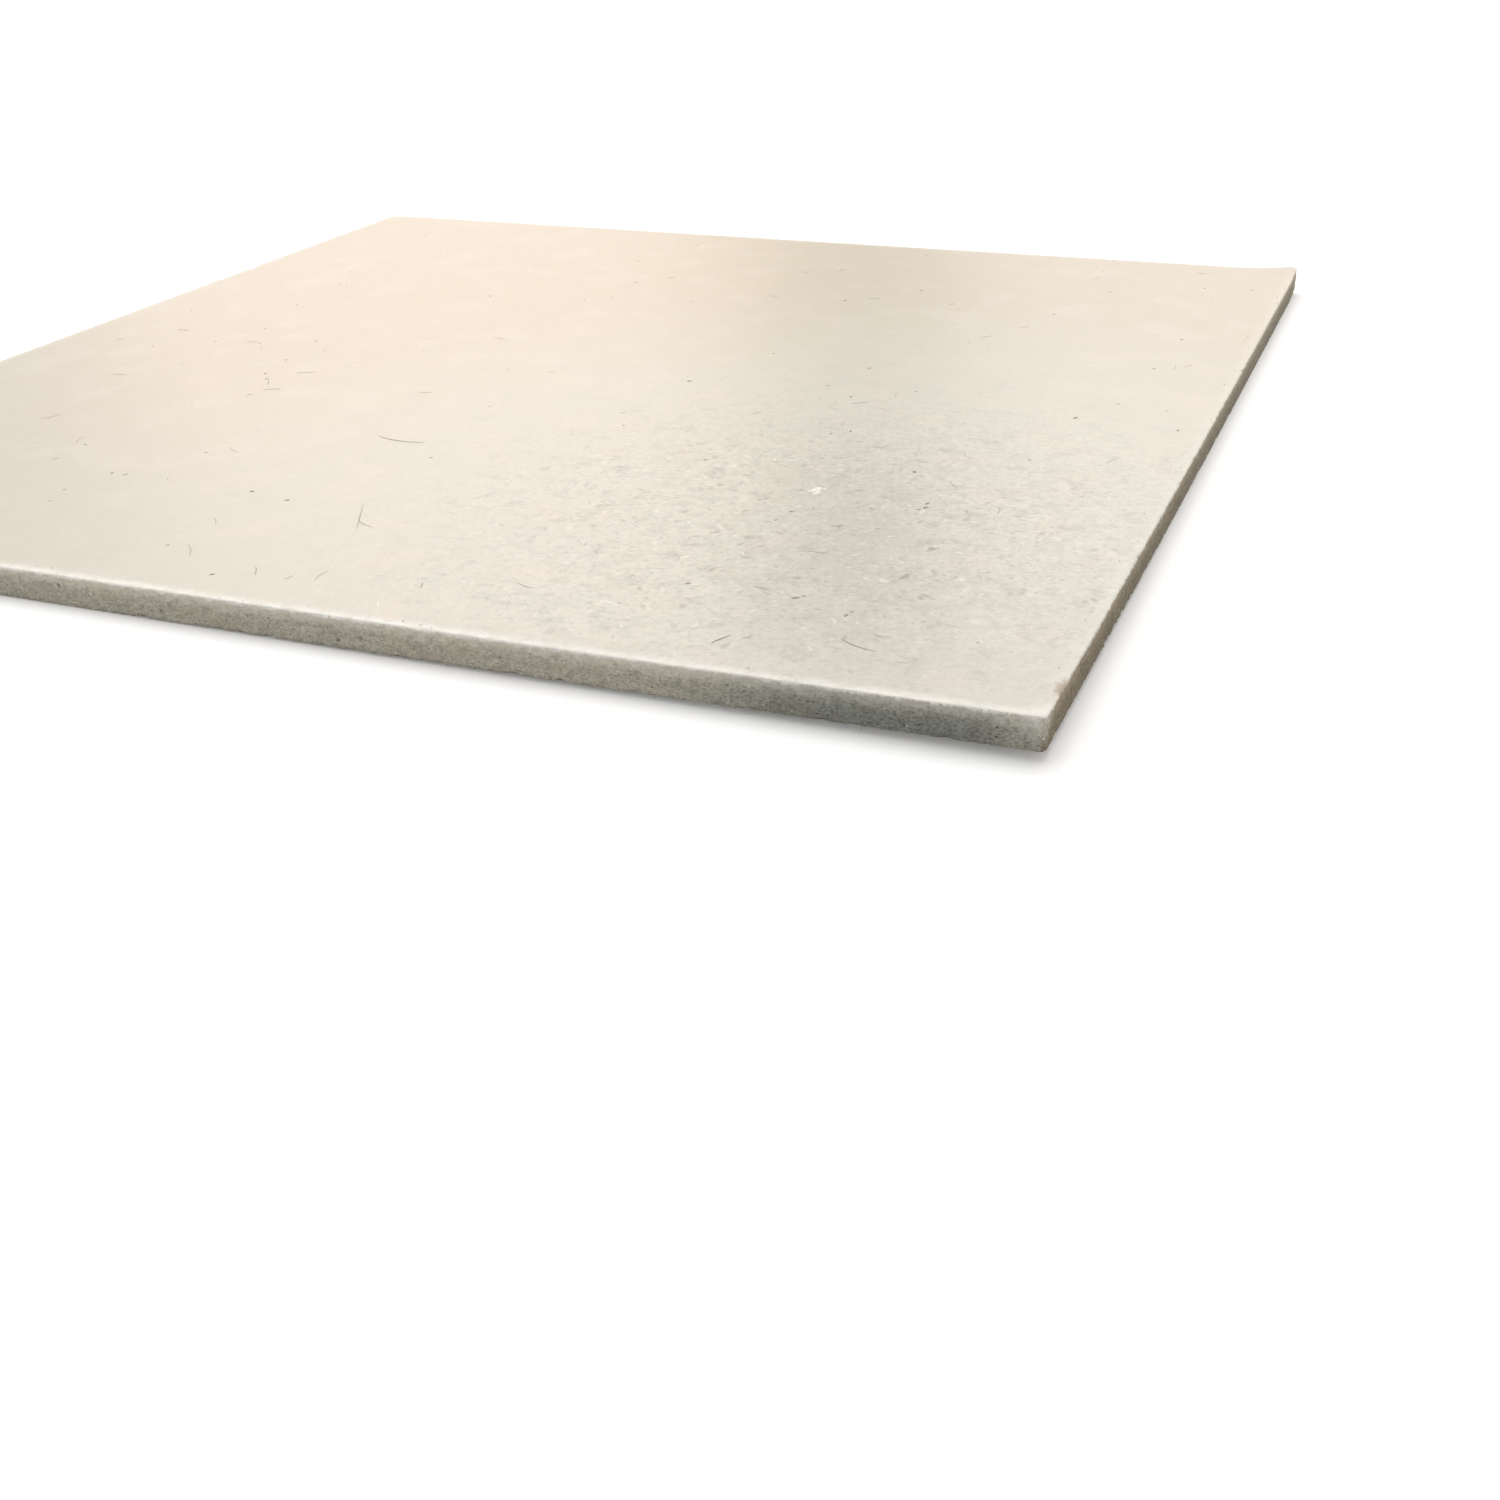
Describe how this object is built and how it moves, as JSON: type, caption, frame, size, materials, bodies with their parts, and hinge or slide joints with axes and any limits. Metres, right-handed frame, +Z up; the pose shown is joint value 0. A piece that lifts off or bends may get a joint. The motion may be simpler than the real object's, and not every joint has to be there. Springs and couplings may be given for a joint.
{
  "type": "chipboard sheet",
  "caption": "Square flat sheet of pale pressed chipboard, sawn to size, with one slightly curled corner and one with a turned-up tip.",
  "frame": {"origin": "under the middle of the sheet, on the floor that it lies on", "axes": "+X to the right along the front edge, +Y away from the front edge, +Z up out of the good face"},
  "size_m": [0.6, 0.6, 0.0152],
  "materials": {
    "chipboard": "satin"
  },
  "bodies": {
    "root": {"chipboard_sheet": "chipboard"}
  },
  "joints": []
}
